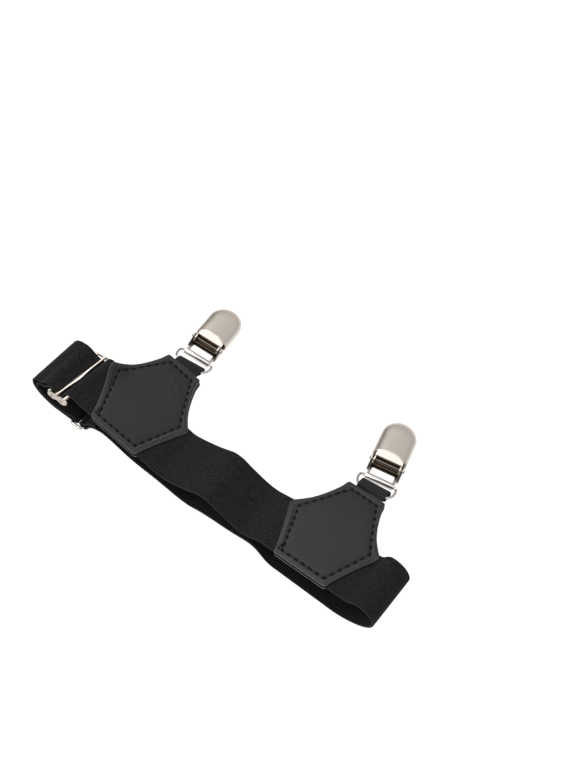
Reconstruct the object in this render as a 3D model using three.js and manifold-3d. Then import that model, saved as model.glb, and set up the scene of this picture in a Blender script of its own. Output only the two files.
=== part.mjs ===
// A sock suspender: an elastic band closed into a loop for the calf, with a slide adjuster and
// a wire ring, two leather patches that each carry a webbing tab, a D-ring and a lever clip.
// Millimetres, +Z up, lying flat on a table. While it is built, x runs from the adjuster fold
// to the other fold, y runs across the band from its near edge to the clips, and z = 0 is the table.
import * as THREE from "three";
import { mergeVertices } from "three/addons/utils/BufferGeometryUtils.js";
import Module from "manifold-3d";

const wasm = await Module();
wasm.setup();

// Driving dimensions.
const gap = 0.3;
const ease = 0.05;
const slack = 0.75;
const band = { width: 25, thick: 1.1 };
const leather = { thick: 1.0 };
const slide = {
  barRadius: 0.75,
  middleBar: 1.35,
  barSpan: 6.8,
  barStub: 0.5,
  plateStart: 13.85,
  plateThick: 0.9,
  plateBend: 66,
  plateTuck: 0.3,
  lobes: [
    { x: 4.3, halfLong: 4.1, halfWide: 1.7 },
    { x: -3.9, halfLong: 4.1, halfWide: 1.5 },
  ],
  x: 20.1,
  y: -0.2,
  z: 19.3,
  roll: 1.5,
  pitch: -25,
  yaw: -6.5,
};
const strapRing = { x: 26.5, spanX: 6.2, spanY: 27.8, wireRadius: 0.7, cornerRadius: 1.3 };
const tab = { width: 12.8, thick: 0.9, tail: 4.8, wall: 0.7 };
const dRing = { halfWidth: 8.6, depth: 8.9, wireRadius: 0.6, squareness: 3.6 };
const clip = {
  sheet: 0.7,
  hoodHalfWidth: 7.9,
  hoodStart: 4.1,
  hoodRound: 17.2,
  hoodEnd: 26.2,
  plateEnd: 25.4,
  hoodCrown: 2.5,
  hoodWallTop: -0.2,
  hoodRim: -2.4,
  plateHalfWidth: 7.2,
  plateTop: -2.7,
  earInner: 6.8,
  earRadius: 1.7,
  leverHalfWidth: 6.3,
  curlRadius: 2.3,
  pinRadius: 0.5,
  rollY: -8.7,
  rollHalfWidth: 6.5,
  rollHollow: 1.05,
  rollRadius: 1.5,
};

// Where each patch sits: its middle, its tilts and its turn, and the pose of the clip below it.
const patches = [
  {
    name: "1",
    x: 50.8,
    z: 15.6,
    slope: -0.27,
    lean: 0.005,
    droop: 1.4,
    tabShift: -0.3,
    tabDip: 30,
    tabNeck: 1.6,
    tabSkew: 0.19,
    tabTwist: 0.12,
    ringShift: 0,
    ringTurn: 0,
    ringDip: 24.5,
    clip: { x: 46.4, y: 53.3, z: 9.2, turn: 12, dip: 11.6, roll: 14 },
  },
  {
    name: "2",
    x: 151.9,
    z: 15.7,
    slope: 0.06,
    lean: -0.075,
    droop: 0.6,
    tabShift: 0.7,
    tabDip: 12,
    tabNeck: 0.5,
    tabSkew: 0.2,
    tabTwist: -0.135,
    ringShift: -0.4,
    ringTurn: -1.5,
    ringDip: 23.5,
    clip: { x: 149.1, y: 52.3, z: 8.8, turn: 16, dip: 11.6, roll: 8 },
  },
];

const elastic = new THREE.MeshStandardMaterial({ color: 0x2b292a, roughness: 0.85, metalness: 0 });
const hide = new THREE.MeshStandardMaterial({ color: 0x474748, roughness: 0.45, metalness: 0 });
const webbing = new THREE.MeshStandardMaterial({ color: 0x1f1e1f, roughness: 0.9, metalness: 0 });
const nickel = new THREE.MeshStandardMaterial({ color: 0xcdc6be, roughness: 0.28, metalness: 1 });
const radians = THREE.MathUtils.degToRad;

const assembly = new THREE.Group();

function addMesh(parent, name, geometry, material) {
  const mesh = new THREE.Mesh(geometry, material);
  mesh.name = name;
  parent.add(mesh);
  return mesh;
}

// Booleans: a closed geometry becomes a solid, and a solid becomes a geometry again.
function toSolid(geometry) {
  const bare = new THREE.BufferGeometry();
  bare.setAttribute("position", geometry.getAttribute("position").clone());
  if (geometry.index) bare.setIndex(geometry.index.clone());
  const merged = mergeVertices(bare, 1e-4);
  return new wasm.Manifold(
    new wasm.Mesh({
      numProp: 3,
      vertProperties: merged.attributes.position.array,
      triVerts: new Uint32Array(merged.index.array),
    }),
  );
}

function toGeometry(solid) {
  const mesh = solid.getMesh();
  const geometry = new THREE.BufferGeometry();
  geometry.setAttribute("position", new THREE.BufferAttribute(mesh.vertProperties, 3));
  geometry.setIndex(new THREE.BufferAttribute(mesh.triVerts, 1));
  geometry.computeVertexNormals();
  return geometry;
}

function boxSolid(xRange, yRange, zRange) {
  const [width, depth, height] = [xRange, yRange, zRange].map(([low, high]) => high - low);
  const box = new THREE.BoxGeometry(width, depth, height);
  box.translate(xRange[0] + width / 2, yRange[0] + depth / 2, zRange[0] + height / 2);
  return toSolid(box);
}

// A cylinder or a prism lying along x.
function rodAlongX(radius, halfLength, y, z, sides) {
  const rod = new THREE.CylinderGeometry(radius, radius, 2 * halfLength, sides);
  rod.rotateZ(Math.PI / 2);
  rod.translate(0, y, z);
  return toSolid(rod);
}

// Extrudes an outline given in the y-z plane along x, from -halfWidth to +halfWidth.
function extrudeAcross(shape, halfWidth, segments) {
  const geometry = new THREE.ExtrudeGeometry(shape, {
    depth: 2 * halfWidth,
    bevelEnabled: false,
    curveSegments: segments,
  });
  geometry.translate(0, 0, -halfWidth);
  geometry.applyMatrix4(new THREE.Matrix4().set(0, 0, 1, 0, 1, 0, 0, 0, 0, 1, 0, 0, 0, 0, 0, 1));
  return geometry;
}

// Closes a rectangular sheet of points into a solid: cell(i, j, side) gives a point of its lower
// (side 0) or upper (side 1) face.
function sheetSolid(rows, columns, cell) {
  const positions = [];
  const index = [];
  const id = (i, j, side) => (side * (rows + 1) + i) * (columns + 1) + j;
  for (const side of [0, 1])
    for (let i = 0; i <= rows; i++)
      for (let j = 0; j <= columns; j++) positions.push(...cell(i, j, side));
  const quad = (a, b, c, d) => index.push(a, b, c, a, c, d);
  for (let i = 0; i < rows; i++)
    for (let j = 0; j < columns; j++) {
      quad(id(i, j, 0), id(i, j + 1, 0), id(i + 1, j + 1, 0), id(i + 1, j, 0));
      quad(id(i, j, 1), id(i + 1, j, 1), id(i + 1, j + 1, 1), id(i, j + 1, 1));
    }
  for (let i = 0; i < rows; i++) {
    quad(id(i, 0, 1), id(i, 0, 0), id(i + 1, 0, 0), id(i + 1, 0, 1));
    quad(id(i, columns, 0), id(i, columns, 1), id(i + 1, columns, 1), id(i + 1, columns, 0));
  }
  for (let j = 0; j < columns; j++) {
    quad(id(0, j + 1, 0), id(0, j, 0), id(0, j, 1), id(0, j + 1, 1));
    quad(id(rows, j, 1), id(rows, j, 0), id(rows, j + 1, 0), id(rows, j + 1, 1));
  }
  const geometry = new THREE.BufferGeometry();
  geometry.setAttribute("position", new THREE.Float32BufferAttribute(positions, 3));
  geometry.setIndex(index);
  return geometry;
}

// The slide lies askew on the band, and its left end is low.
const slideGroup = new THREE.Group();
slideGroup.position.set(slide.x, slide.y, slide.z);
slideGroup.rotation.set(radians(slide.roll), radians(slide.pitch), radians(slide.yaw), "ZYX");
slideGroup.updateMatrix();
assembly.add(slideGroup);

function onSlide(x, y, z) {
  const point = new THREE.Vector3(x, y, z).applyMatrix4(slideGroup.matrix);
  return [point.x, point.z];
}

// One stretch of the band between its near edge (y = -width / 2) and its far edge. Each row of
// its route is [x near, z near, x far, z far] of the middle of its thickness.
const level = (x, z) => [x, z, x, z];
const skewed = (x, near, far) => [x, near, x, far];
const overSlide = (x, z) => [...onSlide(x, -band.width / 2, z), ...onSlide(x, band.width / 2, z)];

// Rows along a bend of the band round a bar that lies along y. It is a little slack sideways.
function roundBar(x, z, radius, fromAngle, toAngle, steps) {
  const rows = [];
  for (let k = 0; k <= steps; k++) {
    const angle = radians(fromAngle + ((toAngle - fromAngle) * k) / steps);
    rows.push(level(x + (radius + slack) * Math.cos(angle), z + radius * Math.sin(angle)));
  }
  return rows;
}

// Where a patch holds the band, the band is flat: its height falls out of the patch's tilts.
function underPatch(patch, offsets) {
  const edge = (band.width / 2) * patch.lean;
  return offsets.map((dx) => {
    const middle = patch.z + dx * patch.slope;
    return skewed(patch.x + dx, middle - edge, middle + edge);
  });
}

const half = band.thick / 2;
const wrap = strapRing.wireRadius + gap + half;
const ringZ = half + wrap;
const ringLeft = strapRing.x - strapRing.spanX / 2;
const ringRight = strapRing.x + strapRing.spanX / 2;
const aboveBar = slide.barRadius + gap + half + ease;
const layer = band.thick + gap;

// The lower run, from the sewn end at the ring to the far fold, and round it.
const lowerRun = [
  level(38.6, 10.7),
  level(35.2, 9.1),
  level(32.5, 6.6),
  level(30.9, 4.4),
  ...roundBar(ringRight, ringZ, wrap, 90, 270, 6),
  level(31.1, 1.7),
  level(32.7, 4.1),
  level(34.6, 6.3),
  level(36.6, 7.8),
  level(39.2, 8.9),
  level(42.5, 9.7),
  level(47.0, 9.0),
  level(52.0, 7.2),
  level(58.0, 5.1),
  level(64.5, 3.9),
  level(72.0, 3.2),
  level(79.5, 2.0),
  level(86.0, 0.8),
  level(92.0, 0.8),
  level(98.0, 2.6),
  level(105.0, 3.9),
  level(112.5, 4.7),
  level(119.0, 5.8),
  level(124.5, 7.0),
  level(128.5, 6.6),
  level(131.8, 4.0),
  level(135.0, 1.4),
  level(139.5, 0.2),
  level(145.0, 0.2),
  level(150.5, 0.2),
  level(156.0, 0.2),
  level(161.5, 0.2),
  level(167.0, 0.3),
  level(172.5, 1.2),
  level(178.0, 3.2),
  level(182.8, 6.2),
  level(186.2, 10.0),
  level(187.5, 14.2),
  level(186.2, 18.4),
  level(183.0, 21.0),
  skewed(178.6, 20.9, 21.2),
];

// The upper run between the patches, and from the first patch over the slide to the near fold.
const betweenPatches = [
  skewed(121.5, 10.9, 11.0),
  skewed(116.5, 12.5, 11.5),
  skewed(111.5, 14.6, 13.3),
  skewed(107.0, 16.6, 15.4),
  skewed(102.8, 18.1, 17.6),
  skewed(98.5, 17.3, 17.9),
  skewed(94.0, 14.9, 15.8),
  skewed(89.0, 12.5, 13.4),
  skewed(84.0, 10.3, 11.5),
  skewed(79.0, 8.9, 9.9),
];
const ontoTheSlide = [
  [35.5, 19.7, 35.5, 20.2],
  [30.4, 21.1, 31.5, 22.7],
  [27.0, 22.5, 29.0, 24.4],
];
const overTheSlide = [
  overSlide(slide.barSpan, aboveBar),
  overSlide(slide.barSpan / 2, 0),
  overSlide(0, -aboveBar),
  overSlide(-slide.barSpan / 2, aboveBar / 2),
  [10.8, 19.6, 13.6, 22.1],
];
const nearFold = [
  [6.7, 16.5, 10.4, 22.2],
  [3.0, 15.4, 7.2, 21.3],
  [0.4, 12.5, 3.9, 18.2],
  [0.0, 8.3, 2.2, 12.8],
  [2.5, 4.2, 3.6, 6.1],
  [6.9, 1.7, 7.4, 2.2],
  level(12.0, 0.5),
  level(17.6, 0.2),
];
// Back through the ring, the band doubles up inside the fold and ends round the slide's low bar.
const innerFold = [
  level(18.6, 2.6),
  level(13.0, 2.1),
  [8.0, 3.3, 8.6, 4.0],
  [4.2, 5.6, 5.6, 7.8],
  [2.0, 8.8, 4.1, 12.8],
  [2.4, 11.4, 5.6, 16.6],
  [4.6, 13.2, 8.4, 18.7],
  [8.2, 14.4, 11.4, 19.5],
];
const sewnEnd = [
  ...[120, 78, 36, -6, -48, -90].map((angle) =>
    overSlide(
      -slide.barSpan + aboveBar * Math.cos(radians(angle)),
      aboveBar * Math.sin(radians(angle)),
    ),
  ),
  overSlide(-slide.barSpan - 3.2, -aboveBar - 0.5),
];

const bandRows = [
  ...lowerRun,
  ...underPatch(patches[1], [22.5, 18, 9, 0, -9, -14, -20]),
  ...betweenPatches,
  ...underPatch(patches[0], [24, 20, 10, 0, -10]),
  ...ontoTheSlide,
  ...overTheSlide,
  ...nearFold,
  ...roundBar(ringLeft, ringZ, wrap, -90, 90, 6),
  ...innerFold,
  ...sewnEnd,
];

// The middle line of the band at one of its edges, as evenly curved as its rows allow, and
// never closer to the table than half its thickness.
function edgeLine(rows, column, steps) {
  const stations = rows.map((row) => new THREE.Vector3(row[column], 0, row[column + 1]));
  const curve = new THREE.CatmullRomCurve3(stations, false, "centripetal");
  const points = curve.getPoints(steps);
  for (const point of points) point.z = Math.max(point.z, half);
  return points;
}

const stepsPerRow = 3;
const bandSteps = (bandRows.length - 1) * stepsPerRow;
const nearLine = edgeLine(bandRows, 0, bandSteps);
const farLine = edgeLine(bandRows, 2, bandSteps);

function bandPoint(line, step, side) {
  const before = line[Math.max(step - 1, 0)];
  const after = line[Math.min(step + 1, line.length - 1)];
  const along = new THREE.Vector3().subVectors(after, before).normalize();
  const offset = side ? half : -half;
  return [line[step].x - along.z * offset, line[step].z + along.x * offset];
}

const bandGeometry = sheetSolid(bandSteps, 1, (step, column, side) => {
  const line = column ? farLine : nearLine;
  const [x, z] = bandPoint(line, step, side);
  return [x, (column - 0.5) * band.width, z];
});
addMesh(assembly, "band", bandGeometry, elastic);

// The slide: three bars between two end plates. A plate is two lobes that meet in a narrow neck,
// and it is bent down from the bars. The middle bar is wider than it is thick.
function slideSolid() {
  const { plateStart, plateThick, plateBend, plateTuck, barSpan, barRadius } = slide;
  const lobes = slide.lobes.map(({ x, halfLong, halfWide }) => {
    const outline = new THREE.Shape();
    outline.absellipse(x, 0, halfLong, halfWide, 0, 2 * Math.PI);
    const plate = new THREE.ExtrudeGeometry(outline, {
      depth: plateThick,
      bevelEnabled: false,
      curveSegments: 8,
    });
    plate.translate(0, halfWide - plateTuck, -plateThick / 2);
    plate.rotateX(radians(-plateBend));
    plate.translate(0, plateStart, 0);
    return toSolid(plate);
  });
  const farPlate = lobes[0].add(lobes[1]);
  let whole = farPlate.add(farPlate.mirror([0, 1, 0]));
  const reach = plateStart + slide.barStub;
  for (const x of [-barSpan, 0, barSpan]) {
    const bar = new THREE.CylinderGeometry(barRadius, barRadius, 2 * reach, 10);
    if (x === 0) bar.scale(slide.middleBar, 1, 1);
    bar.translate(x, 0, 0);
    whole = whole.add(toSolid(bar));
  }
  return whole;
}
addMesh(slideGroup, "slide", toGeometry(slideSolid()), nickel);

// A closed loop of round wire through points of one plane.
function wireLoop(points, radius, steps, sides) {
  const path = new THREE.CatmullRomCurve3(points, true, "centripetal");
  return new THREE.TubeGeometry(path, steps, radius, sides, true);
}

function strapRingPoints() {
  const { spanX, spanY, cornerRadius } = strapRing;
  const corners = [
    [1, 1, 0],
    [-1, 1, 90],
    [-1, -1, 180],
    [1, -1, 270],
  ];
  const points = corners.flatMap(([sx, sy, start]) =>
    [0, 22.5, 45, 67.5, 90].map((turn) => {
      const angle = radians(start + turn);
      const x = sx * (spanX / 2 - cornerRadius) + cornerRadius * Math.cos(angle);
      const y = sy * (spanY / 2 - cornerRadius) + cornerRadius * Math.sin(angle);
      return new THREE.Vector3(x, y, 0);
    }),
  );
  const side = (x, ys) => ys.map((y) => new THREE.Vector3(x, y, 0));
  const [right, left] = [spanX / 2, -spanX / 2];
  return [...side(right, [-10, -8, 8, 10]), ...points.slice(0, 10), ...side(left, [10, 8, -8, -10]),
    ...points.slice(10)];
}
const strapRingMesh = addMesh(
  assembly,
  "strap_ring",
  wireLoop(strapRingPoints(), strapRing.wireRadius, 60, 7),
  nickel,
);
strapRingMesh.position.set(strapRing.x, 0, ringZ);

// Height of the band's middle on its upper run, and of the leather plane beyond its far edge.
function upperHeight(line, x) {
  const first = lowerRun.length * stepsPerRow;
  let step = first;
  while (line[step + 1].x > x) step++;
  const share = (x - line[step].x) / (line[step + 1].x - line[step].x);
  return THREE.MathUtils.lerp(line[step].z, line[step + 1].z, share);
}

function patchHeight(patch, x, y) {
  const near = upperHeight(nearLine, x);
  const far = upperHeight(farLine, x);
  const beyond = Math.max(y - band.width / 2, 0);
  const across = Math.min(Math.max(y / band.width + 0.5, 0), 1);
  const tongue = beyond / (patchTop - band.width / 2);
  return near + (far - near) * across + patch.lean * beyond - patch.droop * tongue * tongue;
}

// Half the width of a patch from its lower edge to its tab: [y, half width].
const patchTop = 33.5;
const patchProfile = [
  [-12.9, 12.1],
  [-12.3, 12.8],
  [-9, 13.9],
  [-4.5, 15.7],
  [0, 17.6],
  [5, 19.9],
  [8.6, 21.7],
  [10.4, 22.1],
  [11.7, 21.5],
  [13.3, 19.8],
  [16.6, 16.8],
  [20.6, 14.2],
  [25, 12.0],
  [29.5, 10.2],
  [32.8, 9.4],
  [33.5, 8.8],
];
const patchColumns = 14;

function leatherSolid(patch, side) {
  const inner = half + gap + ease;
  const outer = inner + leather.thick;
  const cell = (row, column, face) => {
    const [y, width] = patchProfile[row];
    const share = (2 * column) / patchColumns - 1;
    const x = patch.x + share * width * Math.cos(Math.atan(patch.slope));
    const offset = side > 0 ? [inner, outer][face] : [-outer, -inner][face];
    const step = 0.5;
    const rise = patchHeight(patch, x + step, y) - patchHeight(patch, x - step, y);
    return [x, y, patchHeight(patch, x, y) + offset * Math.hypot(1, rise / (2 * step))];
  };
  return sheetSolid(patchProfile.length - 1, patchColumns, (row, column, face) =>
    cell(patchProfile.length - 1 - row, column, face),
  );
}

// The tab: a webbing strip whose tail is sewn between the leathers and whose loop holds the
// D-ring. The tail keeps to the leathers while the loop dips from them by the angle given, and
// across its width the loop is skewed and twisted towards the line of the ring.
const tabLoop = { flare: 0.9, end: 6.3, height: 3.7 };
const tabRoot = patchTop + 0.4;

function tabGeometry(dip, { tabNeck: neck, tabSkew: skew, tabTwist: twist }) {
  const { thick, tail, wall } = tab;
  const { end, height } = tabLoop;
  const tailPoint = (up) => [
    -tail * Math.cos(dip) - up * Math.sin(dip),
    -tail * Math.sin(dip) + up * Math.cos(dip),
  ];
  const flare = neck + tabLoop.flare;
  const outer = new THREE.Shape();
  outer.moveTo(...tailPoint(-thick / 2));
  outer.lineTo(0, -thick / 2);
  outer.lineTo(neck, -thick / 2);
  outer.lineTo(flare, -height / 2);
  outer.lineTo(end - height / 2, -height / 2);
  outer.absarc(end - height / 2, 0, height / 2, -Math.PI / 2, Math.PI / 2);
  outer.lineTo(flare, height / 2);
  outer.lineTo(neck, thick / 2);
  outer.lineTo(0, thick / 2);
  outer.lineTo(...tailPoint(thick / 2));
  const inside = height / 2 - wall;
  const eye = new THREE.Path();
  eye.absarc(end - height / 2, 0, inside, -Math.PI / 2, Math.PI / 2);
  eye.absarc(flare + 0.4, 0, inside, Math.PI / 2, (3 * Math.PI) / 2);
  outer.holes.push(eye);
  const geometry = extrudeAcross(outer, tab.width / 2, 5);
  const points = geometry.getAttribute("position");
  for (let k = 0; k < points.count; k++) {
    const [x, y, z] = [points.getX(k), points.getY(k), points.getZ(k)];
    const skewShare = THREE.MathUtils.clamp((y + tail) / (flare + tail), 0, 1);
    const twistShare = THREE.MathUtils.clamp((y - neck) / (flare - neck), 0, 1);
    points.setXYZ(k, x, y + skewShare * skew * x, z + twistShare * twist * x);
  }
  return geometry;
}

function dRingPoints() {
  const { halfWidth, depth, squareness } = dRing;
  const points = [-7.2, -5.6, 0, 5.6, 7.2].map((x) => new THREE.Vector3(x, 0, 0));
  for (const x of [0.955, 1, 0.93, 0.76, 0.45, 0]) {
    const y = x === 0.955 ? -0.6 : -depth * Math.pow(1 - Math.pow(x, squareness), 1 / squareness);
    points.push(new THREE.Vector3(x * halfWidth, x === 1 ? -2.6 : y, 0));
  }
  for (const point of points.slice(5, -1).reverse()) points.push(point.clone().setX(-point.x));
  return points;
}

// The hood's dome: a tongue with a round end, crowned across, from its rim up to its spine.
function domeSolid(inset, rim, start) {
  const { hoodHalfWidth, hoodRound, hoodEnd, hoodCrown, hoodWallTop } = clip;
  const straightSteps = 3;
  const roundSteps = 14;
  const side = hoodHalfWidth - inset;
  const endLength = hoodEnd - hoodRound - inset;
  const crown = hoodCrown - inset;
  const around = 2 * straightSteps + roundSteps;
  const levels = [1, 0.98, 0.92, 0.8, 0.6, 0.32, 0];
  const at = (i, j) => {
    const share = j === 0 ? 1 : levels[j - 1];
    const rise = Math.pow(1 - Math.pow(share, 2.4), 1 / 1.7);
    const z = j === 0 ? rim : hoodWallTop + (crown - hoodWallTop) * rise;
    const left = i <= straightSteps;
    if (left || i >= around - straightSteps) {
      const along = (left ? i : around - i) / straightSteps;
      const y = THREE.MathUtils.lerp(start, hoodRound, along);
      return [(left ? -1 : 1) * side * share, y, z];
    }
    const angle = Math.PI * (1 - (i - straightSteps) / roundSteps);
    const x = side * share * Math.cos(angle);
    return [x, hoodRound + endLength * share * Math.sin(angle), z];
  };
  const positions = [];
  const index = [];
  const rows = levels.length + 1;
  for (let i = 0; i <= around; i++) for (let j = 0; j < rows; j++) positions.push(...at(i, j));
  const id = (i, j) => i * rows + j;
  const quad = (a, b, c, d) => index.push(a, b, c, a, c, d);
  for (let i = 0; i < around; i++)
    for (let j = 0; j < rows - 1; j++) quad(id(i, j), id(i, j + 1), id(i + 1, j + 1), id(i + 1, j));
  for (let i = 0; i < around / 2; i++)
    quad(id(i, 0), id(i + 1, 0), id(around - i - 1, 0), id(around - i, 0));
  for (let j = 0; j < rows - 1; j++)
    quad(id(0, j), id(around, j), id(around, j + 1), id(0, j + 1));
  const geometry = new THREE.BufferGeometry();
  geometry.setAttribute("position", new THREE.Float32BufferAttribute(positions, 3));
  geometry.setIndex(index);
  return cleanSolid(geometry);
}

// Welds a geometry whose rows meet at a point or a line and drops the faces that vanish there.
function cleanSolid(geometry) {
  const merged = mergeVertices(geometry, 1e-4);
  const faces = [];
  const source = merged.index.array;
  for (let k = 0; k < source.length; k += 3) {
    const [a, b, c] = source.slice(k, k + 3);
    if (a !== b && b !== c && a !== c) faces.push(a, b, c);
  }
  merged.setIndex(faces);
  return toSolid(merged);
}

// The part of space below a plane that slopes up towards the tip, as a wedge.
const facet = { foldY: 2.1, foldZ: 0.75, slope: 0.62 };

function belowFacet(drop) {
  const far = clip.hoodEnd + 5;
  const low = clip.hoodRim - 5;
  const shape = new THREE.Shape();
  shape.moveTo(facet.foldY, low);
  shape.lineTo(far, low);
  shape.lineTo(far, facet.foldZ - drop + (far - facet.foldY) * facet.slope);
  shape.lineTo(facet.foldY, facet.foldZ - drop);
  shape.closePath();
  return toSolid(extrudeAcross(shape, clip.hoodHalfWidth + 2, 1));
}

// The lever: hood, sloping facet and the curl that turns round the pin.
function leverSolid() {
  const { sheet, hoodRim, hoodStart, hoodHalfWidth, leverHalfWidth, curlRadius, pinRadius } = clip;
  const outer = domeSolid(0, hoodRim, facet.foldY - 1).intersect(belowFacet(0));
  const inner = domeSolid(sheet, hoodRim - 2, facet.foldY - 2).intersect(belowFacet(sheet));
  const neck = [facet.foldY - 3, hoodStart];
  const wide = hoodHalfWidth + 1;
  const deep = [hoodRim - 3, clip.hoodCrown + 3];
  const notchLeft = boxSolid([-wide, -leverHalfWidth], neck, deep);
  const notchRight = boxSolid([leverHalfWidth, wide], neck, deep);
  const under = boxSolid([-wide, wide], [facet.foldY - 3, hoodStart], [hoodRim - 3, facet.foldZ - sheet]);
  const hood = outer.subtract(inner).subtract(notchLeft).subtract(notchRight).subtract(under);
  const curl = new THREE.Shape();
  curl.absarc(0, 0, curlRadius, radians(12), radians(-142), true);
  curl.absarc(0, 0, curlRadius - sheet, radians(-142), radians(12), false);
  const wrapRound = toSolid(extrudeAcross(curl, leverHalfWidth, 12));
  const cheekInner = leverHalfWidth - sheet;
  const disc = rodAlongX(curlRadius - 0.1, leverHalfWidth, 0, 0, 20);
  const core = boxSolid([-cheekInner, cheekInner], [-5, 5], [-5, 5]);
  const bore = rodAlongX(pinRadius + gap, leverHalfWidth + 1, 0, 0, 12);
  return hood.add(wrapRound).add(disc.subtract(core)).subtract(bore);
}

// The frame: a plate with a window, ears for the pin and a rolled end for the D-ring.
function frameSolid() {
  const { sheet, plateTop, earInner, earRadius, rollY, rollHalfWidth, pinRadius } = clip;
  const earOuter = earInner + sheet;
  const plateBottom = plateTop - sheet;
  const outline = new THREE.Shape();
  const endRound = clip.hoodRound;
  const tipWidth = clip.plateHalfWidth;
  outline.moveTo(-rollHalfWidth, rollY);
  outline.lineTo(rollHalfWidth, rollY);
  outline.lineTo(rollHalfWidth, -5.6);
  outline.lineTo(earOuter, -4.4);
  outline.lineTo(earOuter, 2.6);
  outline.lineTo(tipWidth, 3.4);
  outline.lineTo(tipWidth, endRound);
  outline.absellipse(0, endRound, tipWidth, clip.plateEnd - endRound, 0, Math.PI);
  outline.lineTo(-tipWidth, 3.4);
  outline.lineTo(-earOuter, 2.6);
  outline.lineTo(-earOuter, -4.4);
  outline.lineTo(-rollHalfWidth, -5.6);
  outline.closePath();
  const window = new THREE.Path();
  window.moveTo(-5.3, -6.6);
  window.lineTo(-5.3, -1.9);
  window.lineTo(5.3, -1.9);
  window.lineTo(5.3, -6.6);
  window.closePath();
  outline.holes.push(window);
  const plate = new THREE.ExtrudeGeometry(outline, { depth: sheet, bevelEnabled: false, curveSegments: 8 });
  plate.translate(0, 0, plateBottom);
  let whole = toSolid(plate);
  const ear = new THREE.Shape();
  ear.moveTo(2.6, plateBottom);
  ear.lineTo(earRadius, 0);
  ear.absarc(0, 0, earRadius, 0, radians(150));
  ear.lineTo(-4.4, plateTop + 0.2);
  ear.lineTo(-4.4, plateBottom);
  ear.closePath();
  const earBlock = toSolid(extrudeAcross(ear, earOuter, 6));
  const between = boxSolid([-earInner, earInner], [-10, 10], [-10, 10]);
  const bore = rodAlongX(pinRadius + gap, earOuter + 1, 0, 0, 12);
  whole = whole.add(earBlock.subtract(between).subtract(bore));
  const { rollHollow, rollRadius } = clip;
  const rollZ = plateBottom + rollRadius;
  const roll = rodAlongX(rollRadius, rollHalfWidth, rollY, rollZ, 14);
  const hollow = rodAlongX(rollHollow, rollHalfWidth + 1, rollY, rollZ, 12);
  return whole.add(roll).subtract(hollow);
}

function pinSolid() {
  const { pinRadius, earInner, sheet } = clip;
  const head = { radius: 0.85, start: earInner + sheet + 0.25, thick: 0.45 };
  const reach = head.start + head.thick;
  const rod = rodAlongX(pinRadius, reach, 0, 0, 10);
  const heads = rodAlongX(head.radius, reach, 0, 0, 12);
  const middle = boxSolid([-head.start, head.start], [-2, 2], [-2, 2]);
  return rod.add(heads.subtract(middle));
}

// One patch with all that hangs on it.
function addPatch(patch) {
  addMesh(assembly, `patch_${patch.name}_front`, leatherSolid(patch, 1), hide);
  addMesh(assembly, `patch_${patch.name}_back`, leatherSolid(patch, -1), hide);

  const tabGroup = new THREE.Group();
  const tabX = patch.x + patch.tabShift;
  tabGroup.position.set(tabX, tabRoot, patchHeight(patch, tabX, tabRoot));
  tabGroup.rotation.set(radians(-patch.tabDip), -Math.atan(patch.slope), 0, "ZYX");
  assembly.add(tabGroup);
  const leatherDip = Math.atan((2 * patch.droop) / (patchTop - band.width / 2) - patch.lean);
  const dip = radians(patch.tabDip) - leatherDip;
  addMesh(tabGroup, `tab_${patch.name}`, tabGeometry(dip, patch), webbing);

  const clipGroup = new THREE.Group();
  const pose = patch.clip;
  clipGroup.position.set(pose.x, pose.y, pose.z);
  clipGroup.rotation.set(radians(-pose.dip), radians(pose.roll), radians(pose.turn), "ZXY");
  assembly.add(clipGroup);
  addMesh(clipGroup, `clip_${patch.name}_frame`, toGeometry(frameSolid()), nickel);
  addMesh(clipGroup, `clip_${patch.name}_lever`, toGeometry(leverSolid()), nickel);
  addMesh(clipGroup, `clip_${patch.name}_pin`, toGeometry(pinSolid()), nickel);

  const { rollHollow, rollRadius } = clip;
  const ringGroup = new THREE.Group();
  ringGroup.position.set(patch.ringShift, clip.rollY, clip.plateTop - clip.sheet + rollRadius);
  ringGroup.rotation.set(radians(pose.dip - patch.ringDip), 0, radians(patch.ringTurn), "XYZ");
  clipGroup.add(ringGroup);
  addMesh(
    ringGroup,
    `d_ring_${patch.name}`,
    wireLoop(dRingPoints(), dRing.wireRadius, 48, 7),
    nickel,
  );
}

for (const patch of patches) addPatch(patch);

// The part's own origin is the middle of its box, on the table.
const box = new THREE.Box3().setFromObject(assembly, true);
const centre = box.getCenter(new THREE.Vector3());
assembly.position.set(-centre.x, -centre.y, -box.min.z);

const suspender = new THREE.Group();
suspender.add(assembly);

export default suspender;
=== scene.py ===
import math

import bmesh
import bpy
import numpy as np
from mathutils import Matrix, Vector


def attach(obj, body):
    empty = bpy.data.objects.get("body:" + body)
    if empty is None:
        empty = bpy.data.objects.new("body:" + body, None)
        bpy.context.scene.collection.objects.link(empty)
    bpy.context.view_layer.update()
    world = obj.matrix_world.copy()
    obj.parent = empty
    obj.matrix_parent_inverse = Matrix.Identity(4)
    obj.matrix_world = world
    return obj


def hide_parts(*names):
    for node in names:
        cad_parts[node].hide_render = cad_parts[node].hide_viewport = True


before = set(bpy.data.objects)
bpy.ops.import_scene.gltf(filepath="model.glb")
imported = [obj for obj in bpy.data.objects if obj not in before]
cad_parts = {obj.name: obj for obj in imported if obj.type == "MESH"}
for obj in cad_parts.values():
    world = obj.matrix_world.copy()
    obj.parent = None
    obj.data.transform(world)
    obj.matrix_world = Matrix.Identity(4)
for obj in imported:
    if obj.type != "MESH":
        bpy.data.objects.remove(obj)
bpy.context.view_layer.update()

# Millimetres in the layout's own frame: x from the adjuster fold, y from the band's middle line,
# z up from the table. SHIFT and MM take a point of it to the part's frame in metres.
MM = 0.001
SHIFT = np.array([-93.6748, -31.0846, 0.0])
ROOT = "suspender"
TAU = 2 * math.pi

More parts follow.
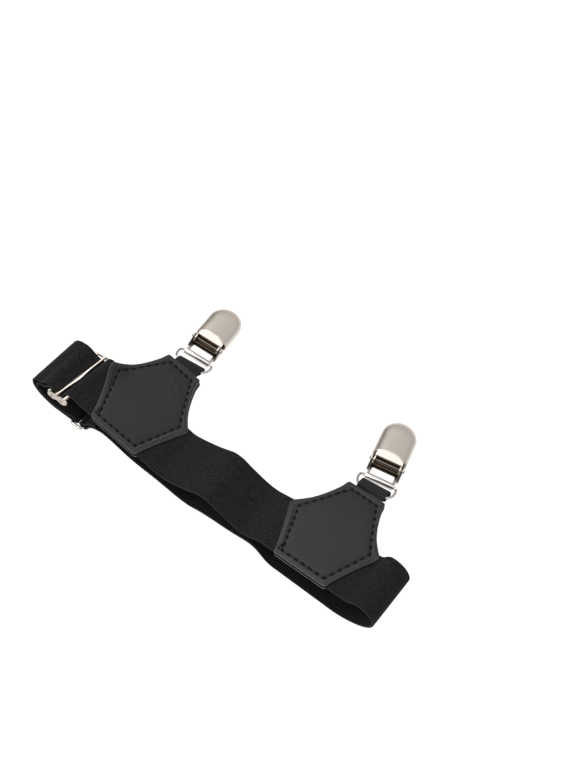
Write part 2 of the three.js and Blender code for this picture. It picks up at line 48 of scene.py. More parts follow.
BAND_WIDTH = 25.0
BAND_THICK = 1.1
LEATHER = {"inner": 0.9, "thick": 1.0}
PATCH_BOTTOM = -12.9
PATCH_TOP = 33.5
TAB_ROOT = 33.9
TAB = {
    "width": 12.8, "tail": 4.8, "flare": 0.9, "end": 6.3, "height": 3.7, "wall": 0.7,
    "half_thick": 0.3, "lift": 0.22,
}
D_RING = {"half_width": 8.6, "depth": 8.9, "wire": 0.6, "squareness": 3.6}
STRAP_RING = {"x": 26.5, "z": 2.1, "span_x": 6.2, "span_y": 27.8, "wire": 0.7, "corner": 1.3}
SLIDE = {
    "at": (20.1, -0.2, 19.3), "yaw": -6.5, "pitch": -25, "roll": 1.5, "bar": 0.75,
    "span": 6.8, "reach": 14.3, "start": 13.85, "thick": 0.9, "bend": 66, "tuck": 0.3,
    "neck": 1.05, "dimple": 0.42, "lens_y": -1.5, "lens_length": 5.0,
    "lobes": (
        {"x": 4.3, "half_long": 4.1, "half_wide": 1.7},
        {"x": -3.9, "half_long": 4.1, "half_wide": 1.5},
    ),
}
CLIP = {
    "sheet": 0.7, "hood_half": 7.9, "hood_start": 4.1, "hood_round": 17.2, "hood_end": 26.2,
    "crown": 2.5, "wall_top": -0.2, "rim": -2.4, "plate_top": -2.7, "plate_half": 7.2,
    "plate_end": 25.4, "ear_inner": 6.8, "ear_radius": 1.7, "ear_bore": 0.62,
    "ear_low": -4.4, "ear_high": 2.6, "window": (-5.3, 5.3, -6.6, -1.9), "window_corner": 0.7,
    "lever_half": 6.3, "cheek_inset": 0.03, "curl": 2.3, "pin": 0.5, "pin_head": 0.85,
    "roll_y": -8.7, "roll_half": 6.5, "roll_hollow": 1.05, "roll_radius": 1.5,
}
PLATE_BOTTOM = CLIP["plate_top"] - CLIP["sheet"]
# The hood's crown bulges by these powers, across it and up from its walls.
HOOD_ACROSS = 2.4
HOOD_RISE = 1.7
# The sloping facet at the hood's mouth, and where the sheet folds below it, as (y, z) in the clip.
FACET = {"y": 2.1, "z": 0.75, "slope": 0.62}
FOLD = (FACET["y"] - 0.02, FACET["z"] - 0.04)
PATCHES = {
    "1": {
        "x": 50.8, "slope": -0.27, "lean": 0.005, "droop": 1.4,
        "tab": {"shift": -0.3, "dip": 30, "neck": 1.6, "skew": 0.19, "twist": 0.12},
        "ring": {"shift": 0.0, "turn": 0.0, "dip": 24.5},
        "clip": {"at": (46.4, 53.3, 9.2), "turn": 12, "dip": 11.6, "roll": 14},
    },
    "2": {
        "x": 151.9, "slope": 0.06, "lean": -0.075, "droop": 0.6,
        "tab": {"shift": 0.7, "dip": 12, "neck": 0.5, "skew": 0.2, "twist": -0.135},
        "ring": {"shift": -0.4, "turn": -1.5, "dip": 23.5},
        "clip": {"at": (149.1, 52.3, 8.8), "turn": 16, "dip": 11.6, "roll": 8},
    },
}


def rotation(order, degrees):
    """Turns about the named axes, the first name outermost."""
    turned = Matrix.Identity(3)
    for axis, angle in zip(order, degrees):
        turned = turned @ Matrix.Rotation(math.radians(angle), 3, axis)
    return np.array(turned)


def placed(points, turn, at):
    """Points turned and then moved."""
    return np.asarray(points, float) @ turn.T + np.asarray(at, float)


def circle(radius, angles, x=0.0, y=0.0):
    """Points round (x, y), one for each angle."""
    return [(x + radius * math.cos(a), y + radius * math.sin(a)) for a in angles]


def full_turn(count):
    return np.linspace(0, TAU, count, endpoint=False)


def unit(vectors):
    return vectors / np.linalg.norm(vectors, axis=-1, keepdims=True)


def crowded(count, share=1.0):
    """Numbers from -1 to 1 that crowd towards both ends, fully or by a share."""
    even = np.linspace(-1, 1, count)
    return share * np.sin(math.pi / 2 * even) + (1 - share) * even


def bell(distance, width, at=0.0):
    """1 at a distance, and less to either side of it over a width."""
    return np.exp(-(((distance - at) / width) ** 2))


def share_of(value, low, high):
    """How far a value is on its way from low to high, from 0 to 1."""
    return min(max((value - low) / (high - low), 0), 1)


def signed_power(values, power):
    return np.sign(values) * np.abs(values) ** power


def linked(name, data):
    """A new object in the scene."""
    made = bpy.data.objects.new(name, data)
    bpy.context.scene.collection.objects.link(made)
    return made


# Shaders


def add_node(tree, kind, inputs=(), **settings):
    """A node whose inputs are numbers, colours or other nodes' outputs."""
    made = tree.nodes.new(kind)
    for key, value in settings.items():
        setattr(made, key, value)
    for key, value in dict(inputs).items():
        if isinstance(value, bpy.types.NodeSocket):
            tree.links.new(value, made.inputs[key])
        else:
            made.inputs[key].default_value = value
    return made


class Shader:
    """A Principled material with short ways to add its texture nodes."""

    def __init__(self, name, colour, roughness, **sockets):
        self.material = bpy.data.materials.new(name)
        self.material.use_nodes = True
        self.tree = self.material.node_tree
        self.main = self.tree.nodes["Principled BSDF"]
        self.main.inputs["Base Color"].default_value = (*colour, 1)
        self.main.inputs["Roughness"].default_value = roughness
        for socket, value in sockets.items():
            self.main.inputs[socket.replace("_", " ")].default_value = value
        self.material.diffuse_color = (*colour, 1)

    def node(self, kind, inputs=(), **settings):
        return add_node(self.tree, kind, inputs, **settings)

    def math(self, operation, a, b=0.0, c=0.0):
        return self.node("ShaderNodeMath", {0: a, 1: b, 2: c}, operation=operation).outputs[0]

    def wave(self, value, length, shift=0.0):
        """A sine wave of the given length."""
        return self.math("SINE", self.math("MULTIPLY_ADD", value, TAU / length, shift))

    def place(self):
        return self.node("ShaderNodeTexCoord").outputs["Object"]

    def attribute(self, name, output="Fac"):
        return self.node("ShaderNodeAttribute", attribute_name=name).outputs[output]

    def cloth(self):
        """Millimetres along and across a strip of cloth."""
        parts = self.node("ShaderNodeSeparateXYZ", {"Vector": self.attribute("cloth", "Vector")})
        return parts.outputs["X"], parts.outputs["Y"]

    def noise(self, size_mm, detail=3.0, rough=0.55):
        inputs = {"Vector": self.place(), "Scale": 1 / (size_mm * MM)}
        inputs |= {"Detail": detail, "Roughness": rough}
        return self.node("ShaderNodeTexNoise", inputs).outputs["Fac"]

    def ramp(self, value, stops):
        node = self.node("ShaderNodeValToRGB", {"Fac": value})
        elements = node.color_ramp.elements
        while len(elements) < len(stops):
            elements.new(0.5)
        for element, (position, colour) in zip(elements, stops):
            element.position = position
            element.color = (*colour, 1) if isinstance(colour, tuple) else (*[colour] * 3, 1)
        return node.outputs["Color"]

    def mix(self, share, a, b, blend="MIX"):
        """From colour a to colour b; each is a tuple or another node's output."""
        a, b = ((*value, 1) if isinstance(value, tuple) else value for value in (a, b))
        settings = {"data_type": "RGBA", "blend_type": blend}
        return self.node("ShaderNodeMix", {0: share, 6: a, 7: b}, **settings).outputs[2]

    def bump(self, height, depth_mm, strength):
        inputs = {"Height": height, "Distance": depth_mm * MM, "Strength": strength}
        return self.node("ShaderNodeBump", inputs).outputs["Normal"]

    def set(self, **values):
        for socket, value in values.items():
            self.tree.links.new(value, self.main.inputs[socket.replace("_", " ")])


# Wavelengths in mm: of the rows along a strip, and of the ribs across it.
ELASTIC_ROW, ELASTIC_RIB = 0.72, 1.56
WEBBING_ROW, WEBBING_RIB = 0.8, 1.7


def elastic_material():
    """Ribs with rows shifted by half a row from rib to rib, mottled, with painted shade in the
    weave's dips and a painted highlight along each selvedge.
    """
    s = Shader("woven_elastic", (0.011, 0.0105, 0.0108), 0.9,
               Specular_IOR_Level=0.08, Sheen_Weight=0.015, Sheen_Roughness=0.5)
    along, across = s.cloth()
    wobble = s.math("MULTIPLY", s.math("SUBTRACT", s.noise(2.5, 2), 0.5), 1.2)
    rib_wave = s.wave(across, ELASTIC_RIB)
    half_row = s.math("MULTIPLY", s.math("SIGN", rib_wave), 1.57)
    rows = s.wave(along, ELASTIC_ROW, wobble)
    rows_shifted = s.wave(along, ELASTIC_ROW, s.math("ADD", half_row, wobble))
    rib_height = s.math("POWER", s.math("ABSOLUTE", rib_wave), 0.5)
    weave = s.math("MULTIPLY", s.math("MULTIPLY_ADD", rows_shifted, 0.5, 0.5), rib_height)
    weave = s.math("MULTIPLY_ADD", rows, 0.12, weave)
    fuzz = s.noise(0.22, 4, 0.7)
    height = s.math("MULTIPLY_ADD", fuzz, 0.5, weave)
    mottle = s.noise(0.9, 4, 0.75)
    fleck = s.ramp(mottle, [(0.32, (0.0048, 0.0045, 0.0047)), (0.7, (0.0225, 0.0218, 0.0223))])
    # painted shade and highlight: the colour follows the weave's height, from 0.55 in its dips to
    # 1.2 on its raised yarn
    yarn = s.ramp(weave, [(0.0, 0.55), (1.0, 1.2)])
    colour = s.mix(1.0, fleck, yarn, "MULTIPLY")
    # painted highlight: the last 0.4 mm at each edge is lightened towards (0.036, 0.035, 0.0355)
    from_middle = s.math("ABSOLUTE", across)
    border = {"Value": from_middle, 1: BAND_WIDTH / 2 - 0.4, 2: BAND_WIDTH / 2, 3: 0.0, 4: 0.6}
    edge = s.node("ShaderNodeMapRange", border).outputs[0]
    colour = s.mix(edge, colour, (0.036, 0.035, 0.0355))
    s.set(Base_Color=colour, Normal=s.bump(height, 0.16, 0.55))
    return s.material


def leather_material():
    """Fine grain; "rim" is a painted highlight that lightens the borders, "groove" is painted shade
    that darkens the seam and its stitch holes, "cut" is the raw edge.
    """
    s = Shader("smooth_leather", (0.015, 0.015, 0.0155), 0.46, Specular_IOR_Level=0.19)
    cells = {"Vector": s.place(), "Scale": 1 / (0.42 * MM)}
    grain = s.node("ShaderNodeTexVoronoi", cells, feature="DISTANCE_TO_EDGE")
    creases = s.ramp(grain.outputs["Distance"], [(0.0, 0.0), (0.12, 1.0)])
    soft = s.noise(0.16, 3)
    height = s.math("MULTIPLY_ADD", soft, 0.45, creases)
    clouds = s.noise(14, 3, 0.5)
    tone = s.ramp(clouds, [(0.3, (0.0064, 0.0064, 0.0067)), (0.7, (0.009, 0.009, 0.0093))])
    # painted highlight: rim lightens the borders and their pressed bead towards (0.05, 0.05, 0.051)
    rim = s.attribute("rim")
    tone = s.mix(s.math("MULTIPLY", rim, 0.55), tone, (0.05, 0.05, 0.051))
    # painted shade: groove darkens the seam and its stitch holes towards near black
    groove = s.attribute("groove")
    tone = s.mix(groove, tone, (0.003, 0.003, 0.0031))
    cut = s.attribute("cut")
    fibre_stops = [(0.35, (0.075, 0.075, 0.076)), (0.7, (0.26, 0.26, 0.262))]
    fibre = s.ramp(s.noise(0.25, 4, 0.7), fibre_stops)
    tone = s.mix(cut, tone, fibre)
    roughness = s.math("MULTIPLY_ADD", cut, 0.35, s.math("MULTIPLY_ADD", clouds, 0.1, 0.36))
    s.set(Base_Color=tone, Roughness=roughness, Normal=s.bump(height, 0.02, 0.5))
    return s.material


def webbing_material():
    s = Shader("webbing", (0.014, 0.0135, 0.014), 0.85, Specular_IOR_Level=0.2)
    along, across = s.cloth()
    ribs = s.math("ABSOLUTE", s.wave(across, WEBBING_RIB))
    picks = s.math("MULTIPLY_ADD", s.wave(along, WEBBING_ROW), 0.3, 0.7)
    height = s.math("MULTIPLY_ADD", s.noise(0.2, 3), 0.3, s.math("MULTIPLY", ribs, picks))
    # painted shade: the webbing is darker where its weave lies lower
    tone = s.ramp(height, [(0.1, (0.004, 0.004, 0.0042)), (1.0, (0.018, 0.0177, 0.018))])
    s.set(Base_Color=tone, Normal=s.bump(height, 0.14, 0.6))
    return s.material


def thread_material():
    s = Shader("stitching_thread", (0.004, 0.004, 0.0042), 0.75, Specular_IOR_Level=0.12)
    twist = s.noise(0.12, 2)
    # painted shade: the thread is darker where its twist lies lower
    s.set(Base_Color=s.ramp(twist, [(0.3, 0.0025), (0.8, 0.006)]), Normal=s.bump(twist, 0.04, 0.5))
    return s.material


def nickel_material(name, roughness, colour=(0.61, 0.55, 0.495)):
    """Nickel plate; where the attribute "inside" is 1 it is painted shade: the hollows of a
    stamping are painted a deep brown and made rougher.
    """
    s = Shader(name, colour, roughness, Metallic=1.0)
    smudge = s.noise(6, 4, 0.6)
    fine = s.noise(0.09, 2, 0.5)
    tint = s.ramp(s.noise(9, 2), [(0.3, colour), (0.75, tuple(c * 0.93 for c in colour))])
    # painted shade: "inside" mixes the nickel towards deep brown where the clips' hollows and the
    # slide's dimples lie in shade
    inside = s.attribute("inside")
    tint = s.mix(inside, tint, (0.085, 0.062, 0.046))
    rough = s.math("MULTIPLY_ADD", smudge, 0.12, roughness - 0.05)
    rough = s.math("MULTIPLY_ADD", inside, 0.2, rough)
    s.set(Base_Color=tint, Roughness=rough, Normal=s.bump(fine, 0.004, 0.25))
    return s.material


ELASTIC = elastic_material()
HIDE = leather_material()
WEBBING = webbing_material()
THREAD = thread_material()
SATIN = nickel_material("satin_nickel", 0.27)
WORN = nickel_material("slide_nickel", 0.36, (0.54, 0.485, 0.435))
BRIGHT = nickel_material("bright_nickel", 0.17, (0.56, 0.53, 0.5))


# Meshes


def mesh_object(name, points, faces, material, slot, body=ROOT, attributes=None):
    """A mesh piece from layout points in mm, riding on a body."""
    mesh = bpy.data.meshes.new(name)
    metres = (np.asarray(points, float) + SHIFT) * MM
    mesh.from_pydata(metres.tolist(), [], [tuple(int(i) for i in face) for face in faces])
    mesh.validate()
    for key, values in (attributes or {}).items():
        values = np.asarray(values, float)
        kind = "FLOAT_VECTOR" if values.ndim == 2 else "FLOAT"
        layer = mesh.attributes.new(key, kind, "POINT")
        layer.data.foreach_set("vector" if values.ndim == 2 else "value", values.ravel())
    mesh.polygons.foreach_set("use_smooth", [True] * len(mesh.polygons))
    mesh.materials.append(material)
    piece = linked(name, mesh)
    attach(piece, body)
    return piece


def grid_faces(rows, columns, start=0, wrap=False):
    """Quads between rows x columns points; wrap also joins the last column to the first."""
    faces = []
    for i in range(rows - 1):
        for j in range(columns if wrap else columns - 1):
            k = (j + 1) % columns
            here, after = start + i * columns, start + (i + 1) * columns
            faces.append((here + j, here + k, after + k, after + j))
    return faces


def flipped(faces):
    return [face[::-1] for face in faces]


def closed_faces(rows, columns):
    """The faces of a tube of rows rings with columns points each, with both ends closed."""
    first = tuple(range(columns))[::-1]
    last = tuple(range((rows - 1) * columns, rows * columns))
    return grid_faces(rows, columns, wrap=True) + [first, last]


def two_skins(rows, columns):
    """The faces of an outer and an inner grid of points that face away from each other."""
    return grid_faces(rows, columns) + flipped(grid_faces(rows, columns, rows * columns))


def joined(parts):
    """Several (points, faces) as one."""
    points, faces, start = [], [], 0
    for some_points, some_faces in parts:
        points.append(np.asarray(some_points, float))
        faces += [tuple(i + start for i in face) for face in some_faces]
        start += len(some_points)
    return np.concatenate(points), faces


def run_length(line):
    """How far along a line each of its points is."""
    return np.concatenate([[0], np.cumsum(np.linalg.norm(np.diff(line, axis=0), axis=1))])


def strip_section(width, columns, half_thickness):
    """A strip's section from edge to edge above and back below: places across it, and heights."""
    across = width / 2 * crowded(columns)
    heights = half_thickness(across)
    return np.concatenate([across, across[-2:0:-1]]), np.concatenate([heights, -heights[-2:0:-1]])


def tube(path, radius, sides, closed=False):
    """A round tube along a path of points; radius may be one number or one for each point."""
    path = np.asarray(path, float)
    count = len(path)
    radii = np.broadcast_to(radius, count)
    if closed:
        ahead = np.roll(path, -1, 0) - np.roll(path, 1, 0)
    else:
        ahead = np.gradient(path, axis=0)
    ahead = unit(ahead)
    side = unit(np.cross(ahead[0], (0.3, 0.2, 0.93)))
    angles = full_turn(sides)
    rings = []
    for k in range(count):
        side = unit(side - ahead[k] * (side @ ahead[k]))
        up = np.cross(ahead[k], side)
        around = np.outer(np.cos(angles), side) + np.outer(np.sin(angles), up)
        rings.append(path[k] + radii[k] * around)
    points = np.concatenate(rings)
    if not closed:
        return points, closed_faces(count, sides)
    faces = grid_faces(count, sides, wrap=True)
    last = (count - 1) * sides
    offset = closing_turn(rings[-1], rings[0])
    for j in range(sides):
        k = j + 1
        faces.append((last + j, last + k % sides, (k + offset) % sides, (j + offset) % sides))
    return points, faces


def closing_turn(last_ring, first_ring):
    """How many corners the last ring is turned against the first."""
    def gap(k):
        return np.abs(np.roll(first_ring, -k, 0) - last_ring).sum()
    return min(range(len(first_ring)), key=gap)


def rod_x(radius, low, high, bevel=0.0, rings=2):
    """A cylinder round the x axis with bevelled ends."""
    sides = 28
    path = [(low, radius - bevel)]
    path += [(x, radius) for x in np.linspace(low + bevel, high - bevel, rings)]
    path.append((high, radius - bevel))
    angles = full_turn(sides)
    points = [(x, y, z) for x, r in path for y, z in circle(r, angles)]
    return np.array(points), closed_faces(len(path), sides)


def plate(outline, hole, thick, bevel):
    """A flat plate with round-edged outline and hole, its middle plane at z = 0."""
    curve = bpy.data.curves.new("plate_outline", "CURVE")
    curve.dimensions = "2D"
    curve.fill_mode = "BOTH"
    curve.extrude = thick / 2 - bevel
    curve.bevel_depth = bevel
    curve.bevel_resolution = 3
    curve.offset = -bevel
    for loop in (outline, hole):
        spline = curve.splines.new("POLY")
        spline.points.add(len(loop) - 1)
        for point, (x, y) in zip(spline.points, loop):
            point.co = (x, y, 0, 1)
        spline.use_cyclic_u = True
    holder = linked("plate_outline", curve)
    bpy.context.view_layer.update()
    evaluated = holder.evaluated_get(bpy.context.evaluated_depsgraph_get())
    mesh = evaluated.to_mesh()
    points = np.array([vertex.co[:] for vertex in mesh.vertices])
    faces = [tuple(face.vertices) for face in mesh.polygons]
    evaluated.to_mesh_clear()
    bpy.data.objects.remove(holder)
    bpy.data.curves.remove(curve)
    return points, faces


def extruded_x(profile, half, steps=1):
    """A closed profile of (y, z) carried along x from -half to half."""
    points = [(x, y, z) for x in np.linspace(-half, half, steps + 1) for y, z in profile]
    return np.array(points), closed_faces(steps + 1, len(profile))


def across_x(part, x):
    """A plate turned to stand across the x axis at x."""
    points, faces = part
    return np.column_stack([points[:, 2] + x, points[:, 0], points[:, 1]]), faces


def finished(piece, bevel_mm=0.0, angle=38):
    """Welds a piece, turns its faces out, rounds its sharp edges and shades it by angle."""
    weld = piece.modifiers.new("weld", "WELD")
    weld.merge_threshold = 0.002 * MM
    apply_modifiers(piece)
    work = bmesh.new()
    work.from_mesh(piece.data)
    bmesh.ops.recalc_face_normals(work, faces=work.faces)
    work.to_mesh(piece.data)
    work.free()
    if bevel_mm:
        bevel = piece.modifiers.new("round", "BEVEL")
        bevel.width = bevel_mm * MM
        bevel.segments = 2
        bevel.limit_method = "ANGLE"
        bevel.angle_limit = math.radians(angle)
        apply_modifiers(piece)
    piece.data.polygons.foreach_set("use_smooth", [True] * len(piece.data.polygons))
    piece.data.set_sharp_from_angle(angle=math.radians(angle))


def apply_modifiers(piece):
    evaluated = piece.evaluated_get(bpy.context.evaluated_depsgraph_get())
    mesh = bpy.data.meshes.new_from_object(evaluated)
    piece.modifiers.clear()
    old = piece.data
    piece.data = mesh
    bpy.data.meshes.remove(old)


def smooth_curve(points, closed, per_span):
    """A centripetal Catmull-Rom curve through the points."""
    points = np.asarray(points, float)
    count = len(points)
    out = []
    for i in range(count if closed else count - 1):
        if closed:
            a, b, c, d = (points[(i + k) % count] for k in (-1, 0, 1, 2))
        else:
            b, c = points[i], points[i + 1]
            a = points[i - 1] if i else 2 * b - c
            d = points[i + 2] if i + 2 < count else 2 * c - b
        gaps = (b - a, c - b, d - c)
        t1, t2, t3 = (max(np.linalg.norm(gap), 1e-6) ** 0.5 for gap in gaps)
        m1 = (c - b) + t2 * ((b - a) / t1 - (c - a) / (t1 + t2))
        m2 = (c - b) + t2 * ((d - c) / t3 - (d - b) / (t2 + t3))
        for k in range(per_span):
            t = k / per_span
            out.append((2 * t**3 - 3 * t**2 + 1) * b + (t**3 - 2 * t**2 + t) * m1
                       + (3 * t**2 - 2 * t**3) * c + (t**3 - t**2) * m2)
    if not closed:
        out.append(points[-1])
    return np.array(out)


# The band's route, read from its CAD strip


def strip_edge(at_far):
    """The two lines of the strip's near or far side, from its ring end to its slide end."""
    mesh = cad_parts["band"].data
    mesh.calc_loop_triangles()
    corners = np.array([vertex.co[:] for vertex in mesh.vertices]) / MM - SHIFT
    corners, merged = np.unique(np.round(corners, 3), axis=0, return_inverse=True)
    merged = merged.ravel()
    edge_y = corners[:, 1].max() if at_far else corners[:, 1].min()
    on_side = np.abs(corners[:, 1] - edge_y) < 0.01
    used = {}
    for triangle in mesh.loop_triangles:
        a, b, c = (merged[i] for i in triangle.vertices)
        if on_side[a] and on_side[b] and on_side[c]:
            used |= dict.fromkeys(((a, b), (b, c), (c, a)))
    ahead = {a: b for a, b in used if (b, a) not in used}
    loop = [next(iter(ahead))]
    while ahead[loop[-1]] != loop[0]:
        loop.append(ahead[loop[-1]])
    line = corners[loop][:, [0, 2]]
    steps = unit(np.roll(line, -1, 0) - line)
    straight = (steps * np.roll(steps, 1, 0)).sum(1)
    count = len(line)
    caps = [k for k in range(count) if straight[k] < 0.5 and straight[(k + 1) % count] < 0.5]
    caps.sort(key=lambda k: -line[k][0])
    first, second = caps[0], caps[-1]
    one = [line[(first + 1 + k) % count] for k in range((second - first) % count)]
    other = [line[(first - k) % count] for k in range((first - second) % count)]
    assert len(one) == len(other)
    return np.array(one), np.array(other)


near_one, near_other = strip_edge(False)
far_one, far_other = strip_edge(True)
near_line = (near_one + near_other) / 2
far_line = (far_one + far_other) / 2
turn_row = int(np.argmax(near_line[:, 0]))

# The band's upper run is read down to this x, past the first patch.
UPPER_RUN_END = 22.0


def upper_height(line, x):
    """Height of the band's middle where its upper run passes x."""
    run = line[turn_row:]
    run = run[:int(np.argmax(run[:, 0] < UPPER_RUN_END))][::-1]
    return np.interp(x, run[:, 0], run[:, 1])


def patch_height(patch, x, y):
    """Height of a patch's middle layer: on the band, and on its tongue beyond the band."""
    near = upper_height(near_line, x)
    far = upper_height(far_line, x)
    beyond = np.maximum(y - BAND_WIDTH / 2, 0)
    across = np.clip(y / BAND_WIDTH + 0.5, 0, 1)
    tongue = beyond / (PATCH_TOP - BAND_WIDTH / 2)
    return near + (far - near) * across + patch["lean"] * beyond - patch["droop"] * tongue**2


# The band


def band_half_thickness(y):
    """Round at the edges, with a line pressed in beside each selvedge."""
    inset = BAND_WIDTH / 2 - np.abs(y)
    flatness = np.sqrt(np.clip(1 - (np.abs(y) / (BAND_WIDTH / 2)) ** 70, 0, 1))
    return BAND_THICK / 2 * flatness * (1 - 0.16 * bell(inset, 0.45, 1.6))


def add_band():
    """The elastic: a soft-edged strip along its two edge lines."""
    near = smooth_curve(near_line, False, 2)
    far = smooth_curve(far_line, False, 2)
    rows = len(near)
    ring_y, ring_h = strip_section(BAND_WIDTH, 36, band_half_thickness)
    length = run_length((near + far) / 2)
    points, cloth = [], []
    near_ahead = np.gradient(near, axis=0)
    far_ahead = np.gradient(far, axis=0)
    for k in range(rows):
        for y, h in zip(ring_y, ring_h):
            share = y / BAND_WIDTH + 0.5
            at = near[k] * (1 - share) + far[k] * share
            ahead = unit(near_ahead[k] * (1 - share) + far_ahead[k] * share)
            points.append((at[0] - ahead[1] * h, y, at[1] + ahead[0] * h))
            cloth.append((length[k], y, h))
    faces = flipped(closed_faces(rows, len(ring_y)))
    piece = mesh_object("band_elastic", points, faces, ELASTIC, "elastic",
                        attributes={"cloth": cloth})
    piece.data.set_sharp_from_angle(angle=math.radians(60))
    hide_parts("band")


add_band()


# The leather patches

# The right half of a patch's outline as (y, x), and its seam as (x, y), on the flat leather.
OUTLINE = np.array([
    (-12.9, 12.1), (-12.3, 12.8), (-9, 13.9), (-4.5, 15.7), (0, 17.6), (5, 19.9), (8.6, 21.7),
    (10.4, 22.1), (11.7, 21.5), (13.3, 19.8), (16.6, 16.8), (20.6, 14.2), (25, 12.0), (29.5, 10.2),
    (32.8, 9.4), (33.5, 8.8),
])
STITCH_CORNERS = np.array([
    (-18, 10.5), (-5.8, 30.9), (7.0, 30.4), (18.4, 9.6), (10.6, -10.0), (-10.2, -10.4),
])
STITCH_PITCH = 3.4
# A stitch runs between these shares of its pitch.
STITCH_SHARES = (0.07, 0.93)
SEAM_LEVEL = -0.16
BACKSTITCHES = np.array([((-11.5, -10.3), (-12.3, -10.2)), ((-11.2, -8.8), (-12.0, -8.6))])
# Two soft creases and a dent that the first patch's front has.
CREASES = (((1.6, 20.3), (6.9, 19.1)), ((0.8, 24.5), (6.8, 22.4)))
DENT = (-2.3, 22.7)
FACINGS = {"front": 1, "back": -1}


def half_width(y):
    line = smooth_curve(OUTLINE, False, 6)
    return np.interp(y, line[:, 0], line[:, 1])


def distance_to(loop, x, y):
    """Distance from each (x, y) to a closed loop of corners, and whether it is inside."""
    best = np.full(np.shape(x), 1e9)
    inside = np.zeros(np.shape(x), bool)
    for (ax, ay), (bx, by) in zip(loop, np.roll(loop, -1, 0)):
        dx, dy = bx - ax, by - ay
        t = np.clip(((x - ax) * dx + (y - ay) * dy) / (dx * dx + dy * dy), 0, 1)
        best = np.minimum(best, np.hypot(x - ax - t * dx, y - ay - t * dy))
        crosses = (ay > y) != (by > y)
        with np.errstate(divide="ignore", invalid="ignore"):
            hit = ax + (y - ay) * dx / np.where(dy == 0, 1e-9, dy)
        inside ^= crosses & (x < hit)
    return best, inside


def outline_loop():
    """The whole outline, with more points where it turns into its near edge."""
    corner = np.linspace(PATCH_BOTTOM, PATCH_BOTTOM + 0.7, 8)
    ys = np.concatenate([corner, np.linspace(PATCH_BOTTOM + 1, PATCH_TOP, 90)])
    right = np.column_stack([half_width(ys), ys])
    return np.concatenate([right, (right * (-1, 1))[::-1]])


def stitch_spans():
    """Where each stitch of a patch starts and ends, on the flat leather."""
    spans = [(low, high) for low, high in BACKSTITCHES]
    for start, end in zip(STITCH_CORNERS, np.roll(STITCH_CORNERS, -1, 0)):
        count = max(1, round(np.linalg.norm(end - start) / STITCH_PITCH))
        for k in range(count):
            low, high = (start + (end - start) * (k + share) / count for share in STITCH_SHARES)
            spans.append((low, high))
    return spans


HOLES = np.array([end for span in stitch_spans() for end in span])


def creased(x, y):
    """How far the first patch's front stands up at its creases and sinks at its dent."""
    height = -0.14 * bell(np.hypot(x - DENT[0], y - DENT[1]), 0.6)
    for start, end in CREASES:
        away, _ = distance_to(np.array([start, end]), x, y)
        height = height + 0.08 * bell(away, 1.0)
    return height


def relief(x, y):
    """How the stitched leather swells and sinks: (height, rim share of painted highlight, groove
    share of painted shade).
    """
    edge, _ = distance_to(outline_loop(), x, y)
    seam, inside = distance_to(STITCH_CORNERS, x, y)
    corner = np.sqrt(np.clip(1 - (1 - edge / 0.7) ** 2, 0, 1))
    height = np.where(edge < 0.7, -0.3 * (1 - corner), 0) - 0.12
    groove = bell(seam, 0.6)
    near_hole = np.min([np.hypot(x - hx, y - hy) for hx, hy in HOLES], axis=0)
    puncture = bell(near_hole, 0.52)
    border = np.where(inside, 0, bell(edge, 0.9, 1.3))
    pressed = np.where(inside, 0, bell(edge, 0.36, 1.55))
    belly = np.where(inside, 1 - np.exp(-seam / 1.6), 0)
    height = height - 0.04 * groove - 0.2 * puncture + 0.1 * border + 0.07 * pressed + 0.24 * belly
    # painted highlight: lighter along the cut edge and on the border's pressed bead, outside the
    # seam
    painted_edge_highlight = 0.25 * np.clip(1.2 - edge / 1.6, 0, 1) + 0.75 * bell(edge, 0.3, 0.3)
    rim = np.where(inside, 0, painted_edge_highlight + 0.5 * pressed)
    # the third share is painted shade along the seam groove and in the stitch holes
    return height, rim, np.maximum(0.2 * groove, puncture)


def leather_point(patch, flat_x, y, side, lift):
    """A point of the front (side 1) or back (side -1) leather, lift above its inner face."""
    x = patch["x"] + flat_x * math.cos(math.atan(patch["slope"]))
    slope = patch_height(patch, x + 0.5, y) - patch_height(patch, x - 0.5, y)
    stretch = np.hypot(1, slope)
    z = patch_height(patch, x, y) + side * (LEATHER["inner"] + lift) * stretch
    return np.stack([x, y + 0 * x, z], axis=-1)


def add_leather(name, word, side):
    patch = PATCHES[name]
    rows, columns = 118, 96
    middle, reach = (PATCH_TOP + PATCH_BOTTOM) / 2, (PATCH_TOP - PATCH_BOTTOM) / 2
    ys = middle + reach * crowded(rows, 0.45)
    y, share = np.meshgrid(ys, crowded(columns, 0.5), indexing="ij")
    x = share * half_width(y)
    height, rim, groove = relief(x, y)
    if name == "1" and word == "front":
        height = height + creased(x, y)
    outer = leather_point(patch, x, y, side, LEATHER["thick"] + height).reshape(-1, 3)
    inner = leather_point(patch, x, y, side, np.zeros_like(x)).reshape(-1, 3)
    count = rows * columns
    faces = two_skins(rows, columns)
    index = np.arange(count).reshape(rows, columns)
    border = np.concatenate([index[0], index[1:, -1], index[-1, -2::-1], index[-2:0:-1, 0]])
    # The cut edge has its own points, so that its colour stops at the corner.
    edge_start = 2 * count
    skins = [outer, inner]
    for level in (1.0, 0.75, 0.3, 0.0):
        ring = outer[border] * level + inner[border] * (1 - level)
        outward = ring - ring.mean(0)
        outward[:, 2] = 0
        skins.append(ring + 0.08 * math.sin(math.pi * level) * unit(outward))
    points = np.concatenate(skins)
    faces += flipped(grid_faces(4, len(border), edge_start, wrap=True))
    if side < 0:
        faces = flipped(faces)
    marks = {key: np.zeros(len(points)) for key in ("cut", "rim", "groove")}
    marks["cut"][edge_start:] = 1
    marks["rim"][:count] = rim.ravel()
    marks["groove"][:count] = groove.ravel()
    piece = mesh_object(f"patch_{name}_{word}_leather", points, faces, HIDE, "leather",
                        attributes=marks)
    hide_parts(f"patch_{name}_{word}")


